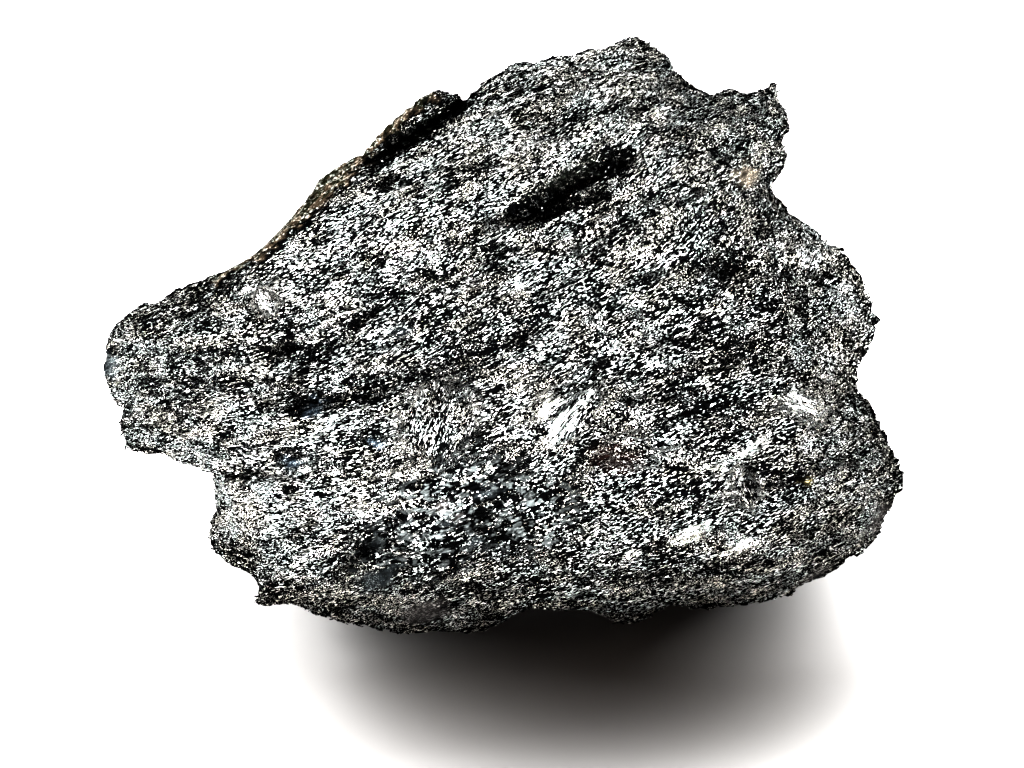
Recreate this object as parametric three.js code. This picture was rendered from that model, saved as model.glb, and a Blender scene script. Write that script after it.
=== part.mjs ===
// A hand specimen of native antimony: one massive lump of bladed, steel-grey metal.
//
// The lump is a broken wedge.  Its show face leans back from upright and has a rough outline.
// Behind the face it is cut by fracture planes: a flat break that it rests on, a steep back,
// and slanting sides that leave the left nose and the front lip standing clear of the ground.
//
// The face has its own frame, in millimetres: x to the right, v up the slope, w straight out.

import * as THREE from 'three';
import { ImprovedNoise } from 'three/addons/math/ImprovedNoise.js';
import { mergeVertices } from 'three/addons/utils/BufferGeometryUtils.js';

// ---- Driving dimensions, in millimetres and degrees ----

const FACE_LEAN = 40;
const FACE_HEIGHT = 38;
const FACE_FORWARD = 10.2;
const FACE_LEFT = 0.5;

const FACE_STEPS = 40;
const WALL_STEPS = 8;
const EVENING_PASSES = 60;

const CROWN = 7;
const CROWN_SPAN = [52, 40];
const RIM_ROUNDING = 8;
const RIM_CALM = 0.4;
const RIM_CALM_POWER = 8;
const BACK_TAPER = 0.92;
const BACK_SMOOTHING = 7;
const THINNEST = 3;

const GRAIN_HEIGHT = 0.9;
const GRAIN_LENGTH = 13;
const GRAIN_WIDTH = 4.2;
const GRAIN_ANGLE = 27;
const GRAIN_CREST = 3;
const GRAIN_BEND = 1.5;
const SWELL_HEIGHT = 0.9;
const SWELL_LENGTH = 24;
const BREAK_HEIGHT = 2.2;
const BREAK_LENGTH = 15;
const HOLLOW_STEEPER = 1.35;
const HACKLE_HEIGHT = 4;
const HACKLE_LENGTH = 10;
const HACKLE_WIDTH = 5;
const FINE_HACKLE = 2.2;
const FINE_HACKLE_SHARE = 0.5;
const HACKLE_FULL_AT = 0.3;
const FOOT_HEIGHT = 3;

// ---- The outline of the face, anticlockwise, as [x, v] ----

const LOWER_RIGHT_CORNER = [
  [41, -28.5], [44, -26.5], [47, -24.5], [48.5, -22], [50, -18.5], [50.5, -16.5],
  [49, -14.5], [48.5, -12], [46.5, -8.5], [45, -6.5], [44, -5.5],
];
const RIGHT_SHOULDER = [
  [44.5, -3.5], [46, -1], [47, 2], [46.5, 4.5], [45, 9], [43, 11.5], [41, 12],
  [39.5, 13.5], [37.5, 15], [36, 15.5], [35, 17.5], [33.5, 19],
];
const HORN = [
  [35.5, 21.5], [36, 23.5], [35, 25], [36.5, 26.5], [35, 30.5], [34.5, 32.5],
  [33, 31.5], [30.5, 31], [28.5, 31.5], [26.5, 30.5],
];
const CREST = [
  [24, 32], [22, 33.5], [21, 35.5], [19.5, 37], [17, 38.5], [15.5, 38], [12.5, 36.3],
  [11.5, 36.5], [9.5, 35.6], [7.5, 35.8], [4.5, 34.5], [2.5, 35], [0, 33.5], [-3, 31.5],
  [-4.5, 30.8], [-7, 31.5], [-8.5, 31.4], [-10.7, 30], [-14.5, 26.5], [-16, 25], [-16, 23.5],
];
const RIND_EDGE = [
  [-18, 23], [-20, 21.8], [-22, 20.6], [-23.3, 18.4], [-24.6, 16.2], [-25, 14.3],
  [-28.6, 11.6], [-32, 9.2], [-33, 8.3],
];
const NOSE = [
  [-37, 7.5], [-40.5, 6.5], [-43, 4.5], [-45, 4.5], [-48, 2.5], [-49.5, -0.5],
  [-49.5, -4.5], [-49, -6.5], [-47, -8.5], [-47.5, -11], [-46.5, -13.5], [-43.5, -14.5],
  [-41.5, -14], [-40.5, -15], [-37, -15.5], [-36, -17], [-35, -18],
];
const LOWER_LEFT_LOBE = [
  [-35.5, -19], [-35, -20.5], [-36.5, -24], [-36, -26], [-33.5, -28], [-31, -28.5],
  [-29.5, -30.5], [-30.5, -32], [-30.5, -33], [-29, -33], [-26, -32.5], [-23, -34],
  [-19.5, -35],
];
const LIP = [
  [-17, -35.5], [-12.5, -36.5], [-8.5, -36], [-3, -36.5], [1, -34.5], [4, -33],
  [8.5, -33.5], [11.5, -33.5], [15.5, -35.5], [18.5, -35], [21, -33], [25.5, -33],
  [29, -33], [34.5, -32], [37.5, -30.5],
];
const OUTLINE = [
  ...LOWER_RIGHT_CORNER, ...RIGHT_SHOULDER, ...HORN, ...CREST,
  ...RIND_EDGE, ...NOSE, ...LOWER_LEFT_LOBE, ...LIP,
];

// How far the rim lies behind the face's own plane, every 45 degrees from +x, anticlockwise.
const RIM_SETBACK = [12, 10, 8, 7, 9, 8, 6, 12];

// ---- Relief of the face ----

// Long hollows between bundles of blades: ends, width and depth.
const FURROWS = [
  { from: [2.6, 16.2], to: [14.6, 22.3], width: 3.2, depth: 3.2 },
  { from: [15.5, 17.2], to: [24, 19.2], width: 2.6, depth: 1 },
  { from: [-13.6, 23.6], to: [-6, 29], width: 3.6, depth: 4.4 },
  { from: [-24.5, -3], to: [-13.5, 5], width: 1.7, depth: 1.7 },
  { from: [-39, -4.6], to: [-22, -6.8], width: 2.6, depth: 1.1 },
  { from: [-20, -7.2], to: [-1, -0.8], width: 2, depth: 1.2 },
  { from: [-13.5, -22.5], to: [-19.5, -27.5], width: 2.2, depth: 1.5 },
  { from: [35, -17], to: [46, -13.2], width: 2.2, depth: 1.3 },
  { from: [25, -2.7], to: [31, -0.8], width: 2.6, depth: 1.5 },
  { from: [-35, -16.5], to: [-29, -16], width: 1.6, depth: 2.6 },
  { from: [10, -29.8], to: [31, -28.6], width: 2, depth: 0.8 },
];

// Short hollows left by lost crystals: centre, half length, half width, depth and angle.
const VUGS = [
  { at: [-26.5, -1], long: 1.8, wide: 1.4, depth: 1.8, angle: 0 },
  { at: [-15, 9], long: 1.3, wide: 1.1, depth: 1.6, angle: 20 },
  { at: [-22.7, -7], long: 2.4, wide: 1.7, depth: 2, angle: 10 },
  { at: [-26.2, -15], long: 2.4, wide: 1.7, depth: 2.2, angle: -20 },
  { at: [-15.7, -12.6], long: 1.7, wide: 1.2, depth: 1.3, angle: -35 },
  { at: [-12, 1.2], long: 1.7, wide: 1.2, depth: 1, angle: 10 },
  { at: [27.8, 9], long: 3.4, wide: 1.6, depth: 1.3, angle: 0 },
  { at: [40, 8.5], long: 3.6, wide: 1.5, depth: 1.3, angle: 5 },
  { at: [25.5, -8.5], long: 1.8, wide: 1.3, depth: 2.2, angle: 10 },
  { at: [21, -20.5], long: 1.4, wide: 1, depth: 1.4, angle: 0 },
  { at: [38.5, -23.5], long: 1.7, wide: 1.2, depth: 1.3, angle: 20 },
  { at: [-37.5, 4], long: 2.2, wide: 1.2, depth: 1.2, angle: 0 },
  { at: [-48, -2.5], long: 1.4, wide: 2, depth: 1.2, angle: 0 },
  { at: [-14.5, -29], long: 4.6, wide: 3, depth: 2, angle: 35 },
  { at: [-5.5, -24.5], long: 4.6, wide: 2.8, depth: 1.2, angle: 40 },
];

// Raised lumps and bundles of blades, in the same form as the hollows.
const LUMPS = [
  { at: [-9.5, -33], long: 3.4, wide: 1.9, depth: -1.8, angle: 15 },
  { at: [9, -10], long: 5, wide: 2.2, depth: -1.5, angle: 45 },
  { at: [-7, 17], long: 9, wide: 5, depth: -1.4, angle: 25 },
  { at: [24, -26.5], long: 6, wide: 2.2, depth: -1.5, angle: 15 },
  { at: [-29, -26], long: 8, wide: 4, depth: -1.4, angle: 5 },
  { at: [-34, 1.5], long: 8, wide: 3, depth: -1.1, angle: 25 },
  { at: [16, 30], long: 7, wide: 4, depth: -1.2, angle: 35 },
  { at: [38, -9], long: 6, wide: 2.4, depth: -1.2, angle: 15 },
  { at: [-30, -12], long: 7, wide: 2.2, depth: -1, angle: 28 },
];

// Fracture planes behind the face, as a direction in the resting frame (x right, y back,
// z up), the distance from the middle of the face, and whether the break is rough.
const FRACTURES = [
  { facing: [0, 0, -1], distance: FACE_HEIGHT, rough: false },
  { facing: [0.05, 1, 0.06], distance: 39, rough: true },
  { facing: [0.1, 0.6, -0.8], distance: 48, rough: true },
  { facing: [-0.6, 0.05, -0.8], distance: 44.5, rough: true },
  { facing: [-0.7, 0.7, 0.1], distance: 44, rough: true },
  { facing: [-0.45, 0.85, -0.3], distance: 45, rough: true },
  { facing: [0.7, 0.7, 0.1], distance: 47, rough: true },
  { facing: [0.55, 0.1, -0.83], distance: 51, rough: true },
];

// ---- Face frame and noise ----

const lean = THREE.MathUtils.degToRad(FACE_LEAN);
const RIGHT = new THREE.Vector3(1, 0, 0);
const UP_SLOPE = new THREE.Vector3(0, Math.sin(lean), Math.cos(lean));
const OUTWARD = new THREE.Vector3(0, -Math.cos(lean), Math.sin(lean));

const noise = new ImprovedNoise();

function turned(x, v, degrees) {
  const angle = THREE.MathUtils.degToRad(degrees);
  const lengthwise = x * Math.cos(angle) + v * Math.sin(angle);
  const crosswise = v * Math.cos(angle) - x * Math.sin(angle);
  return [lengthwise, crosswise];
}

function mix(from, to, share) {
  return [
    THREE.MathUtils.lerp(from[0], to[0], share),
    THREE.MathUtils.lerp(from[1], to[1], share),
  ];
}

// ---- Outline, measured along its length and snapped to the mesh's rim points ----

function rimPoints(outline, count) {
  const lengths = [0];
  outline.forEach((point, i) => {
    const next = outline[(i + 1) % outline.length];
    lengths.push(lengths[i] + Math.hypot(next[0] - point[0], next[1] - point[1]));
  });
  const total = lengths[outline.length];
  const places = [];
  outline.forEach((point, i) => {
    const wanted = Math.round((lengths[i] / total) * count);
    places.push(i === 0 ? 0 : Math.max(wanted, places[i - 1] + 1));
  });
  places.push(count);
  const points = [];
  outline.forEach((point, i) => {
    const next = outline[(i + 1) % outline.length];
    const gap = places[i + 1] - places[i];
    for (let k = 0; k < gap; k += 1) points.push(mix(point, next, k / gap));
  });
  return points;
}

// The same rim with its notches averaged out, each point over its neighbours.
function smoothed(points, reach) {
  return points.map((_, i) => {
    const sum = [0, 0];
    for (let k = -reach; k <= reach; k += 1) {
      const near = points[(i + k + points.length) % points.length];
      sum[0] += near[0];
      sum[1] += near[1];
    }
    return sum.map((value) => value / (2 * reach + 1));
  });
}

const RIM = rimPoints(OUTLINE, 4 * FACE_STEPS);
const BACK_RIM = smoothed(RIM, BACK_SMOOTHING);

function pointAt(points, share) {
  const place = share * points.length;
  const low = Math.floor(place);
  return mix(points[low % points.length], points[(low + 1) % points.length], place - low);
}

// The share of the way round a square ring at (a, b), from its lower right corner.
function shareRound(a, b) {
  const ring = Math.max(Math.abs(a), Math.abs(b));
  if (ring === 0) return 0;
  const side = 2 * ring;
  if (a === ring && b < ring) return (b + ring) / side / 4;
  if (b === ring && a > -ring) return (1 + (ring - a) / side) / 4;
  if (a === -ring && b > -ring) return (2 + (ring - b) / side) / 4;
  return (3 + (a + ring) / side) / 4;
}

// The face's own grid: the rim on its four sides, and inside it points that are evened out
// by moving each one, again and again, to the middle of its neighbours.
function faceGrid() {
  const rows = [];
  for (let j = 0; j <= FACE_STEPS; j += 1) {
    const row = [];
    for (let i = 0; i <= FACE_STEPS; i += 1) {
      const a = (2 * i) / FACE_STEPS - 1;
      const b = (2 * j) / FACE_STEPS - 1;
      const ring = Math.max(Math.abs(a), Math.abs(b));
      const [x, v] = pointAt(RIM, shareRound(a, b));
      row.push([x * ring, v * ring]);
    }
    rows.push(row);
  }
  for (let pass = 0; pass < EVENING_PASSES; pass += 1) {
    for (let j = 1; j < FACE_STEPS; j += 1) {
      for (let i = 1; i < FACE_STEPS; i += 1) {
        const around = [rows[j][i - 1], rows[j][i + 1], rows[j - 1][i], rows[j + 1][i]];
        rows[j][i] = [0, 1].map((k) => around.reduce((sum, near) => sum + near[k], 0) / 4);
      }
    }
  }
  return rows;
}

const FACE_GRID = faceGrid();

function facePoint(a, b) {
  const column = Math.round(((a + 1) / 2) * FACE_STEPS);
  const row = Math.round(((b + 1) / 2) * FACE_STEPS);
  return FACE_GRID[row][column];
}

function rimSetback(x, v) {
  const eighths = RIM_SETBACK.length;
  const turn = (Math.atan2(v, x) / (2 * Math.PI) + 1) * eighths;
  const low = Math.floor(turn);
  const blend = THREE.MathUtils.smoothstep(turn - low, 0, 1);
  return THREE.MathUtils.lerp(
    RIM_SETBACK[low % eighths], RIM_SETBACK[(low + 1) % eighths], blend,
  );
}

// ---- Relief ----

// Blades in bundles: sharp crests along the grain over a slow swell.
function grainRelief(x, v) {
  const [along, across] = turned(x, v, GRAIN_ANGLE);
  const bend = GRAIN_BEND * noise.noise(x / SWELL_LENGTH, v / SWELL_LENGTH, 4);
  const blades = noise.noise(along / GRAIN_LENGTH, across / GRAIN_WIDTH + bend, 0);
  const swell = noise.noise(x / SWELL_LENGTH, v / SWELL_LENGTH, 9);
  return GRAIN_HEIGHT * (1 - GRAIN_CREST * Math.abs(blades)) + SWELL_HEIGHT * swell;
}

// A hollow has a steep upper side and a gentle lower one.
function hollow(across, long, depth) {
  const side = across > 0 ? across * HOLLOW_STEEPER : across;
  return -depth * Math.exp(-((long ** 2 + side ** 2) ** 1.5));
}

function furrowRelief(x, v, { from, to, width, depth }) {
  const length = Math.hypot(to[0] - from[0], to[1] - from[1]);
  const angle = THREE.MathUtils.radToDeg(Math.atan2(to[1] - from[1], to[0] - from[0]));
  const middle = [(from[0] + to[0]) / 2, (from[1] + to[1]) / 2];
  const [along, across] = turned(x - middle[0], v - middle[1], angle);
  const beyond = Math.max(Math.abs(along) - length / 2, 0);
  const flip = Math.abs(angle) > 90 ? -1 : 1;
  return hollow((flip * across) / (width / 2), beyond / width, depth);
}

function vugRelief(x, v, { at, long, wide, depth, angle }) {
  const [along, across] = turned(x - at[0], v - at[1], angle);
  return hollow(across / wide, along / long, depth);
}

function faceDepth(x, v, ring) {
  const setback = rimSetback(x, v);
  const shoulder = 1 - ring ** RIM_ROUNDING;
  const crown = CROWN * (1 - (x / CROWN_SPAN[0]) ** 2 - (v / CROWN_SPAN[1]) ** 2);
  const depth = (setback + crown) * shoulder - setback;
  let relief = grainRelief(x, v);
  for (const furrow of FURROWS) relief += furrowRelief(x, v, furrow);
  for (const vug of [...VUGS, ...LUMPS]) relief += vugRelief(x, v, vug);
  return depth + relief * (1 - RIM_CALM * ring ** RIM_CALM_POWER);
}

// ---- Back and walls ----

function backDepth(x, v) {
  let depth = -Infinity;
  FRACTURES.forEach(({ facing, distance, rough }, i) => {
    const normal = new THREE.Vector3(...facing).normalize();
    const bulge = noise.noise(x / BREAK_LENGTH, v / BREAK_LENGTH, 20 + 7 * i);
    const reach = distance + (rough ? BREAK_HEIGHT * bulge : 0);
    const beside = x * normal.dot(RIGHT) + v * normal.dot(UP_SLOPE);
    depth = Math.max(depth, (reach - beside) / normal.dot(OUTWARD));
  });
  return depth;
}

// Hackly break: sharp ridges that follow the blades through the lump, never standing proud.
function hackle(point) {
  const [along, across] = turned(point.x, point.z, GRAIN_ANGLE);
  const length = along / HACKLE_LENGTH;
  const width = across / HACKLE_WIDTH;
  const depth = point.y / HACKLE_WIDTH;
  const coarse = Math.abs(noise.noise(length, width, depth));
  const finer = [length, width, depth].map((value) => FINE_HACKLE * value);
  const fine = Math.abs(noise.noise(...finer));
  return -HACKLE_HEIGHT * (coarse + FINE_HACKLE_SHARE * fine);
}

// One point of the unit block, (a, b) across it and c from back to front, moved to the lump.
function lumpPoint(a, b, c) {
  const ring = Math.max(Math.abs(a), Math.abs(b));
  const back = (1 - c) / 2;
  const [faceX, faceV] = facePoint(a, b);
  const [backX, backV] = pointAt(BACK_RIM, shareRound(a, b));
  const spread = ring * BACK_TAPER;
  const [x, v] = mix([faceX, faceV], [backX * spread, backV * spread], back);
  const front = faceDepth(faceX, faceV, ring);
  const rear = Math.min(backDepth(x, v), front - THINNEST);
  const w = THREE.MathUtils.lerp(front, rear, back);
  return new THREE.Vector3()
    .addScaledVector(RIGHT, x)
    .addScaledVector(UP_SLOPE, v)
    .addScaledVector(OUTWARD, w)
    .add(new THREE.Vector3(-FACE_LEFT, -FACE_FORWARD, FACE_HEIGHT));
}

// ---- The one solid ----

function lumpGeometry() {
  const block = new THREE.BoxGeometry(2, 2, 2, FACE_STEPS, FACE_STEPS, WALL_STEPS);
  block.deleteAttribute('normal');
  block.deleteAttribute('uv');
  const geometry = mergeVertices(block);
  const position = geometry.getAttribute('position');
  const depths = [];
  for (let i = 0; i < position.count; i += 1) {
    const point = lumpPoint(position.getX(i), position.getY(i), position.getZ(i));
    depths.push((1 - position.getZ(i)) / 2);
    position.setXYZ(i, point.x, point.y, Math.max(point.z, 0));
  }
  geometry.clearGroups();
  geometry.computeVertexNormals();
  const normal = geometry.getAttribute('normal');
  for (let i = 0; i < position.count; i += 1) {
    const point = new THREE.Vector3().fromBufferAttribute(position, i);
    const outward = new THREE.Vector3().fromBufferAttribute(normal, i);
    const clear = THREE.MathUtils.smoothstep(point.z, 0, FOOT_HEIGHT);
    const behind = THREE.MathUtils.smoothstep(depths[i], 0, HACKLE_FULL_AT);
    point.addScaledVector(outward, hackle(point) * clear * behind);
    position.setXYZ(i, point.x, point.y, Math.max(point.z, 0));
  }
  return geometry;
}

const antimony = new THREE.MeshStandardMaterial({
  name: 'native_antimony', color: 0x8f9496, roughness: 0.42, metalness: 0.85, flatShading: true,
});

const specimen = new THREE.Group();
const mass = new THREE.Mesh(lumpGeometry(), antimony);
mass.name = 'antimony_mass';
specimen.add(mass);

export default specimen;
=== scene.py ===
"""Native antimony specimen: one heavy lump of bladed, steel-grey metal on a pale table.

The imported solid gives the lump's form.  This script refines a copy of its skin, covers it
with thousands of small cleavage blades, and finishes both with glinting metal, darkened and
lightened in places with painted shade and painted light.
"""

import math

import bmesh
import bpy
import numpy as np
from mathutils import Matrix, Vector, noise


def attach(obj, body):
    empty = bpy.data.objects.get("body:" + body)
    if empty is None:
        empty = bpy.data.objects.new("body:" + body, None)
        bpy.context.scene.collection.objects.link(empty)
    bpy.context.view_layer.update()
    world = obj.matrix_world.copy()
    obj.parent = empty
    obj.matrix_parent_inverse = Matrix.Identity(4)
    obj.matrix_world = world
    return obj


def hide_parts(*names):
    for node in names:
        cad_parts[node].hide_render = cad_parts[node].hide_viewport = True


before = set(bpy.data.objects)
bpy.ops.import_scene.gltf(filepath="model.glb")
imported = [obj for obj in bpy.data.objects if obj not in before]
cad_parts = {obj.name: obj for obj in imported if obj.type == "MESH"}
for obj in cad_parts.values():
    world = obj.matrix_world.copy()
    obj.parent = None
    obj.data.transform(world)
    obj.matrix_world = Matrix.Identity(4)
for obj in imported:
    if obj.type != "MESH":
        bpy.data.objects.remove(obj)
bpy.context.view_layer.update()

MM = 0.001


def put_in_scene(name, data):
    """A new object at the origin, in the scene."""
    item = bpy.data.objects.new(name, data)
    bpy.context.collection.objects.link(item)
    return item



# ---- The show face's own frame: x right, v up its slope, w straight out of it ----

FACE_LEAN = math.radians(40)
FACE_MIDDLE = Vector((-0.5, -10.2, 38.0)) * MM
RIGHT = Vector((1, 0, 0))
UP_SLOPE = Vector((0, math.sin(FACE_LEAN), math.cos(FACE_LEAN)))
OUTWARD = Vector((0, -math.cos(FACE_LEAN), math.sin(FACE_LEAN)))

# ---- Camera: far away with a long lens, square on to the face ----

LENS_MM = 200
SENSOR_MM = 36
CAMERA_DISTANCE = 0.698
AIM_X = 1.5 * MM
AIM_V = -5.3 * MM


def make_camera():
    camera = bpy.data.cameras.new("camera")
    camera.lens = LENS_MM
    camera.sensor_width = SENSOR_MM
    eye = put_in_scene("camera", camera)
    aim = FACE_MIDDLE + RIGHT * AIM_X + UP_SLOPE * AIM_V
    eye.location = aim + OUTWARD * CAMERA_DISTANCE
    eye.rotation_euler = (-OUTWARD).to_track_quat("-Z", "Y").to_euler()
    bpy.context.scene.camera = eye


make_camera()

# ---- Where the blades lie: their angle on the face, in degrees, and its local turns ----

GRAIN_ANGLE = 27
GRAIN_TURNS = [
    (22, 22, 16, 10),
    (36, -4, 16, -11),
    (12, -30, 16, -12),
    (-30, -20, 16, -22),
]
# Knots of blades lying another way: middle, half length, half width and angle.
KNOTS = [
    (-7.5, -10, 5.5, 4.5, 70),
    (6.5, -7.6, 3.2, 1.7, 40),
    (9.6, -9.0, 4.0, 1.7, 54),
    (29.8, -18, 2.6, 1.6, -62),
    (37.5, -8.2, 3.2, 1.5, -25),
    (-28.5, 4.8, 1.8, 1.4, -50),
    (16, -13.5, 3.6, 2.0, -15),
]
# Waves in the edges of patches: height, turns per millimetre of x and of v, and phase.
TORN_ALONG = [(0.45, -1.3, 3.1, 0), (0.3, -2.9, 7.3, 1)]
TORN_ACROSS = [(0.22, 2.7, 1.9, 2), (0.15, 5.9, -3.7, 0)]
TORN_KNOTS = [(0.12, 3.1, 1, 0), (0.12, -1, 4.3, 0)]
RAGGED = 0.8
# The flow table's half width and half height, and how far from its end its last cell starts.
FLOW_REACH_X = 70
FLOW_REACH_V = 60
LAST_CELL = 1.001


def face_places(points):
    """Points in metres, one a row, in the face's frame, in millimetres."""
    local = np.asarray(points) - np.array(FACE_MIDDLE)
    axes = np.array([RIGHT, UP_SLOPE, OUTWARD])
    return local @ axes.T / MM


def turned(x, v, angle):
    """Places measured along and across a direction on the face."""
    along = x * np.cos(angle) + v * np.sin(angle)
    across = v * np.cos(angle) - x * np.sin(angle)
    return along, across


def grain_angles(x, v):
    """The blades' direction at each place on the face, in radians, outside the knots."""
    angle = np.full_like(x, GRAIN_ANGLE)
    for middle_x, middle_v, reach, turn in GRAIN_TURNS:
        far = ((x - middle_x) ** 2 + (v - middle_v) ** 2) / reach**2
        angle += turn * np.exp(-far)
    return np.radians(angle)


def flow_table():
    """How far the blades climb from the face's middle line, on a grid 1 mm apart."""
    columns = np.arange(-FLOW_REACH_X, FLOW_REACH_X + 1.0)
    rows = np.arange(-FLOW_REACH_V, FLOW_REACH_V + 1.0)
    grid_x, grid_v = np.meshgrid(columns, rows, indexing="ij")
    climb = np.cumsum(np.tan(grain_angles(grid_x, grid_v)), axis=0)
    return climb - climb[FLOW_REACH_X]


FLOW = flow_table()


def flow_climb(x, v):
    """The flow table read between its grid points."""
    column = np.clip(x + FLOW_REACH_X, 0, 2 * FLOW_REACH_X - LAST_CELL)
    row = np.clip(v + FLOW_REACH_V, 0, 2 * FLOW_REACH_V - LAST_CELL)
    i, j = column.astype(int), row.astype(int)
    a, b = column - i, row - j
    low = FLOW[i, j] * (1 - b) + FLOW[i, j + 1] * b
    high = FLOW[i + 1, j] * (1 - b) + FLOW[i + 1, j + 1] * b
    return low * (1 - a) + high * a


def oval(x, v, middle_x, middle_v, long, wide, tilt):
    """How far out each place is in an oval: 0 at its middle, 1 at its edge."""
    along, across = turned(x - middle_x, v - middle_v, math.radians(tilt))
    return np.hypot(along / long, across / wide)


def waves(x, v, rows, level=0):
    """Sine waves across the face, added to a level."""
    heights = (high * np.sin(by_x * x + by_v * v + phase) for high, by_x, by_v, phase in rows)
    return sum(heights, level)


def ragged(x, v):
    """The same places shifted a little, so that the patches drawn there have torn edges."""
    along = waves(x, v, TORN_ALONG)
    across = waves(x, v, TORN_ACROSS)
    turn = math.radians(GRAIN_ANGLE)
    shift_x = along * math.cos(turn) - across * math.sin(turn)
    shift_v = along * math.sin(turn) + across * math.cos(turn)
    return x + RAGGED * shift_x, v + RAGGED * shift_v


def grain_places(x, v):
    """Each place's distance along the blades and across them, and the blades' angle."""
    middle = math.radians(GRAIN_ANGLE)
    along = x * math.cos(middle) + v * math.sin(middle)
    across = (v - flow_climb(x, v)) * math.cos(middle)
    angle = grain_angles(x, v)
    torn = waves(x, v, TORN_KNOTS)
    for knot_x, knot_v, long, wide, tilt in KNOTS:
        inside = oval(x, v, knot_x, knot_v, long, wide, tilt) + torn < 1
        knot_along, knot_across = turned(x - knot_x, v - knot_v, math.radians(tilt))
        along = np.where(inside, knot_along + knot_x, along)
        across = np.where(inside, knot_across + knot_v, across)
        angle = np.where(inside, math.radians(tilt), angle)
    return along, across, angle


# ---- Hollows in the face, in millimetres ----

# Long ones: the two ends, the width, and how dark the bottom is, in painted shade.
DARK_FURROWS = [
    (2.6, 16.0, 14.6, 22.3, 2.0, 1.0),
    (5, 15.3, 12.5, 17.6, 1.5, 0.9),
    (15.5, 17.2, 24, 19.2, 1.8, 0.25),
    (-13.8, 23.4, -6, 29, 2.6, 1.0),
    (-24.5, -3, -13.5, 5, 1.3, 0.4),
    (-39, -4.6, -22, -6.8, 2.4, 0.3),
    (-20, -7.2, -1, -0.8, 1.4, 0.35),
    (-13.5, -22.5, -19.5, -27.5, 2.2, 0.4),
    (35, -17, 46, -13.2, 2.0, 0.3),
    (25, -2.7, 31, -0.8, 2.4, 0.4),
    (-35, -16.5, -29.5, -16, 1.1, 0.7),
    (10, -29.8, 31, -28.6, 1.6, 0.25),
    (-18.1, -4.6, -18.4, -9.6, 0.7, 0.7),
    (3.5, 27.9, 10.3, 27.2, 0.8, 0.6),
    (14.8, 16.8, 12.2, 9.6, 0.6, 0.6),
    (8.6, 11.9, 12.2, 9.6, 0.6, 0.6),
    (-12.2, -21.3, -17.7, -25.6, 0.7, 0.8),
    (-17.7, -25.6, -18.3, -29.2, 0.7, 0.8),
]
# Short ones: the middle, the half length, the half width, the tilt and the darkness of the painted
# shade.
DARK_VUGS = [
    (-26.2, -1.0, 1.3, 1.2, 0, 1.1),
    (-14.6, 9.6, 1.1, 0.8, 20, 0.9),
    (-16.6, -5.8, 2.6, 1.2, -25, 0.55),
    (27.8, 9.0, 3.4, 1.5, 0, 0.45),
    (40.0, 8.5, 3.4, 1.3, 5, 0.5),
    (25.0, -8.0, 1.1, 1.0, 10, 1.6),
    (22.8, -8.7, 1.3, 0.5, 10, 0.9),
    (19.8, -19.7, 0.8, 0.5, 0, 0.9),
    (38.5, -23.5, 1.5, 1.0, 20, 0.4),
    (-37.5, 4.0, 2.2, 0.8, 20, 0.5),
    (-12.4, 19.6, 0.9, 0.7, 0, 0.8),
    (-8.7, 20.4, 0.7, 0.5, 0, 0.9),
    (-14.5, -28.5, 4.2, 2.4, 35, 0.2),
]
# Open cups, with painted shade only under their upper rim.
SHADED_CUPS = [
    (-23.0, -8.1, 2.3, 1.5, 15, 1.2),
    (-25.7, -14.8, 1.8, 1.2, -20, 1.2),
    (-15.3, -12.3, 1.9, 0.9, -50, 1.1),
    (-12.4, 18.8, 1.9, 1.5, 0, 0.7),
    (1.5, 9.8, 3.0, 1.6, 20, 0.5),
    (-36.0, 5.0, 2.6, 1.5, 20, 0.5),
]
# How steeply the shade ends, and where in a cup's oval it is deepest and how wide it is.
FURROW_EDGE = 1.5
VUG_EDGE = 3
CUP_SHADE_AT = 0.8
CUP_SHADE_WIDTH = 0.35


def hollow_darkness(x, v):
    """How deep in shade each place on the face is: 0 in the open, 1 or more at the bottom."""
    x, v = ragged(x, v)
    dark = np.zeros_like(x)
    for x0, v0, x1, v1, width, depth in DARK_FURROWS:
        length = math.hypot(x1 - x0, v1 - v0)
        middle_x, middle_v = (x0 + x1) / 2, (v0 + v1) / 2
        along, across = turned(x - middle_x, v - middle_v, math.atan2(v1 - v0, x1 - x0))
        beyond = np.maximum(np.abs(along) - length / 2, 0)
        far = (2 * across / width) ** 2 + (beyond / width) ** 2
        dark = np.maximum(dark, depth * np.exp(-(far**FURROW_EDGE)))
    for *shape, depth in DARK_VUGS:
        dark = np.maximum(dark, depth * np.exp(-(oval(x, v, *shape) ** VUG_EDGE)))
    for middle_x, middle_v, *shape, depth in SHADED_CUPS:
        far = oval(x, v, middle_x, middle_v, *shape)
        under_rim = 0.5 + 0.5 * np.tanh(2 * (v - middle_v) - (x - middle_x))
        ring = np.exp(-(((far - CUP_SHADE_AT) / CUP_SHADE_WIDTH) ** 2))
        dark = np.maximum(dark, depth * under_rim * ring)
    return dark
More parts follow.
